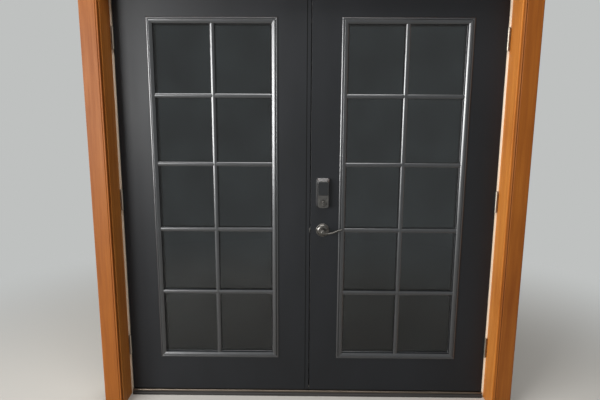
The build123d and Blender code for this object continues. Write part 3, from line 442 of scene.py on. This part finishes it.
# The bolt plates' screws lie nearly flush, because the sweep runs over the lower ones
flushLook = dict(screwLook, domeHeight=0.15, crossDeep=0.1)


def plateScrewPlaces(plate, axis, facing, step):
    # axis is the one that the plate's face looks along: 0 for X, 2 for Z. All lie half way through the leaves
    low, high = nodeBox(plate)
    place = (low + high) / 2
    place.y = leafMiddle
    place[axis] = high[axis] if facing > 0 else low[axis]
    outward = Vector()
    outward[axis] = facing
    return [(place - step, outward), (place + step, outward)]


lockStep = Vector((0, 0, plateScrews["lockReach"]))
for setName, plates, facing, body in (
        ("strikeScrews", ("latch_strike", "deadbolt_strike"), 1, "left_leaf"),
        ("faceplateScrews", ("latch_case", "deadbolt_case"), -1, "right_leaf")):
    lockPlaces = [place for plate in plates for place in plateScrewPlaces(plate, 0, facing, lockStep)]
    screwSet(setName, lockPlaces, screwLook, zincSteel, body)
boltStep = Vector((plateScrews["boltReach"], 0, 0))
for plateName, facing in (("head", -1), ("sill", 1)):
    boltPlaces = plateScrewPlaces(plateName + "_bolt_plate", 2, facing, boltStep)
    screwSet(plateName + "BoltPlateScrews", boltPlaces, flushLook, zincSteel, "frame")


def uprightStrip(builder, outline, endGap):
    # A closed strip nearly as tall as the leaf. outline holds X and Y in millimetres
    heights = (leftLow.z + endGap, leftHigh.z - endGap)
    low, high = ([builder.verts.new(Vector((x, y, z)) * mm) for x, y in outline] for z in heights)
    bridgeLoops(builder, low, high)
    builder.faces.new(low)
    builder.faces.new(high)


# Meeting seal: a thin lip of wiper rubber on its crown reaches the other leaf and keeps the gap dark
sealLip = {"sunk": 0.7, "clear": 0.2, "thick": 0.9, "rootSpread": 1.6, "endGap": 0.5, "sides": 6}


def sealLipPiece(look):
    crownLow, crownHigh = nodeBox("meeting_seal")
    root = crownHigh.x - look["sunk"]
    middle = (crownLow.y + crownHigh.y) / 2
    half = look["thick"] / 2
    rootHalf = half * look["rootSpread"]
    turn = rightLow.x - look["clear"] - half
    angles = [math.pi * (step / look["sides"] - 0.5) for step in range(look["sides"] + 1)]
    tip = [(turn + half * math.cos(a), middle + half * math.sin(a)) for a in angles]
    builder = bmesh.new()
    uprightStrip(builder, [(root, middle - rootHalf), *tip, (root, middle + rootHalf)], look["endGap"])
    meshPiece("meetingSealLip", builder, blackRubber, "left_leaf")


sealLipPiece(sealLip)

# Joint between the left leaf and its meeting strip: a thin matt black strip on both faces,
# a painted shadow that stands for the shadow gap along the joint and shows as a thin dark line
jointShadowStrip = {"wide": 3.8, "proud": 0.2, "sunk": 0.6, "endGap": 0.5, "sides": 8}
# Painted shadow: near black and almost without gloss
shadowStripLook = dict(
    plainBase, colours=("#070707", "#0e0e0d"), patternMm=7, roughness=(0.7, 0.85), bumpMm=0.05, specular=0.1)
blackShadowStrip = plainFinish("paintedShadowStrip", shadowStripLook)


# Painted shadow strips along the joint, on both faces of the left leaf
def jointShadowStripPiece(look):
    joint, half = leftHigh.x, look["wide"] / 2
    angles = [math.pi * step / look["sides"] for step in range(look["sides"] + 1)]
    builder = bmesh.new()
    for face, outward in ((leftLow.y, -1), (leftHigh.y, 1)):
        crown = [(joint - half * math.cos(a), face + outward * look["proud"] * math.sin(a)) for a in angles]
        foot = face - outward * look["sunk"]
        uprightStrip(builder, [*crown, (joint + half, foot), (joint - half, foot)], look["endGap"])
    meshPiece("meetingStripPaintedShadow", builder, blackShadowStrip, "left_leaf")


jointShadowStripPiece(jointShadowStrip)
print("screws, seal lip and joint bead added")

# Floor, lamps and world: a plain pale studio, its main soft lamp well to the left. In metres and watts
studio = {
    "floor": {"colour": "#bdbab4", "roughness": 0.9, "specular": 0.1, "halfSide": 40, "drop": 0.0004,
              "fadeFrom": 1.3, "fadeTo": 3.4},
    "background": "#bfc1c0", "fill": 0.13,
    "lamps": {
        "keyLamp": {"place": (-5.1, -3.3, 1.7), "aim": (0.0, 0.0, 1.1), "size": (2.2, 2.4), "power": 290},
        "sheenLamp": {"place": (-2.75, -3.7, 1.9), "aim": (0.0, 0.0, 1.1), "size": (1.2, 2.0), "power": 126},
        "topLamp": {"place": (-0.4, -1.4, 4.2), "aim": (0.0, 0.0, 0.9), "size": (3.0, 1.4), "power": 84},
        "backLamp": {"place": (1.2, 2.6, 3.6), "aim": (0.0, 0.1, 0.9), "size": (2.0, 1.4), "power": 60}}}


def areaLamp(name, look):
    lamp = bpy.data.lights.new(name, "AREA")
    lamp.shape = "RECTANGLE"
    lamp.size, lamp.size_y = look["size"]
    lamp.energy = look["power"]
    holder = bpy.data.objects.new(name, lamp)
    holder.location = look["place"]
    holder.rotation_euler = (Vector(look["aim"]) - Vector(look["place"])).to_track_quat("-Z", "Y").to_euler()
    holder.visible_camera = False
    holder.visible_transmission = False
    bpy.context.scene.collection.objects.link(holder)


def seenRay(tree):
    # 1 for rays that show a thing rather than light it
    path = addNode(tree, "LightPath")
    seen = addNode(tree, "Math", {"operation": "MAXIMUM"}, {
        0: path.outputs["Is Camera Ray"], 1: path.outputs["Is Glossy Ray"]})
    through = addNode(tree, "Math", {"operation": "MAXIMUM"}, {
        0: seen.outputs[0], 1: path.outputs["Is Transmission Ray"]})
    return through.outputs[0]


def studioFloor(look, background):
    # Pale paper that takes the shadow near the doors and fades into the background further out
    builder = bmesh.new()
    bmesh.ops.create_grid(builder, x_segments=8, y_segments=8, size=look["halfSide"])
    mesh = bpy.data.meshes.new("studioFloor")
    builder.to_mesh(mesh)
    builder.free()
    floor = bpy.data.objects.new("studioFloor", mesh)
    floor.location.z = -look["drop"]
    material, tree, bsdf = startMaterial("studioPaper", {
        "Base Color": hexColour(look["colour"]), "Roughness": look["roughness"],
        "Specular IOR Level": look["specular"]})
    place = addNode(tree, "TexCoord").outputs["Object"]
    reach = addNode(tree, "VectorMath", {"operation": "LENGTH"}, {0: place})
    fade = addNode(tree, "MapRange", {"interpolation_type": "SMOOTHSTEP"}, {
        "Value": reach.outputs["Value"], "From Min": look["fadeFrom"], "From Max": look["fadeTo"],
        "To Min": 0.0, "To Max": 1.0})
    share = addNode(tree, "Math", {"operation": "MULTIPLY"}, {0: fade.outputs["Result"], 1: seenRay(tree)})
    glow = addNode(tree, "Emission", None, {"Color": hexColour(background), "Strength": 1.0})
    mixed = addNode(tree, "MixShader", None, {0: share.outputs[0], 1: bsdf.outputs[0], 2: glow.outputs[0]})
    tree.links.new(mixed.outputs[0], tree.nodes["Material Output"].inputs["Surface"])
    mesh.materials.append(material)
    bpy.context.scene.collection.objects.link(floor)


def studioWorld(background, fill):
    # Dim white light from all round, which rays that show the background see as its own colour
    world = bpy.data.worlds.new("studioWorld")
    world.use_nodes = True
    tree = world.node_tree
    tree.nodes.clear()
    dim = addNode(tree, "Background", None, {"Color": hexColour("#ffffff"), "Strength": fill})
    shown = addNode(tree, "Background", None, {"Color": hexColour(background), "Strength": 1.0})
    mixed = addNode(tree, "MixShader", None, {0: seenRay(tree), 1: dim.outputs[0], 2: shown.outputs[0]})
    addNode(tree, "OutputWorld", None, {"Surface": mixed.outputs[0]})
    bpy.context.scene.world = world


studioFloor(studio["floor"], studio["background"])
studioWorld(studio["background"], studio["fill"])
for lampName, lampLook in studio["lamps"].items():
    areaLamp(lampName, lampLook)

# Camera where the photograph was taken: just left of the middle, 1.4 m up, looking a little down
# Places in metres, angles in radians, lens and sensor in millimetres
viewpoint = {
    "place": (-0.0233, -2.2351, 1.4197), "pitch": 0.1642, "yaw": -0.0084, "roll": 0.0053,
    "focal": 27.52, "sensor": 36, "clip": (0.05, 100)}


def viewCamera(look):
    camera = bpy.data.cameras.new("viewCamera")
    camera.sensor_width = look["sensor"]
    camera.lens = look["focal"]
    camera.clip_start, camera.clip_end = look["clip"]
    pitch, yaw, roll = look["pitch"], look["yaw"], look["roll"]
    forward = Vector((math.sin(yaw) * math.cos(pitch), math.cos(yaw) * math.cos(pitch), -math.sin(pitch)))
    level = Vector((math.cos(yaw), -math.sin(yaw), 0))
    above = level.cross(forward)
    right = math.cos(roll) * level + math.sin(roll) * above
    up = -math.sin(roll) * level + math.cos(roll) * above
    turn = Matrix((right, up, -forward)).transposed().to_4x4()
    holder = bpy.data.objects.new("viewCamera", camera)
    holder.matrix_world = Matrix.Translation(look["place"]) @ turn
    bpy.context.scene.collection.objects.link(holder)
    bpy.context.scene.camera = holder


viewCamera(viewpoint)
bpy.context.scene.view_settings.view_transform = "Standard"
print("studio ready")
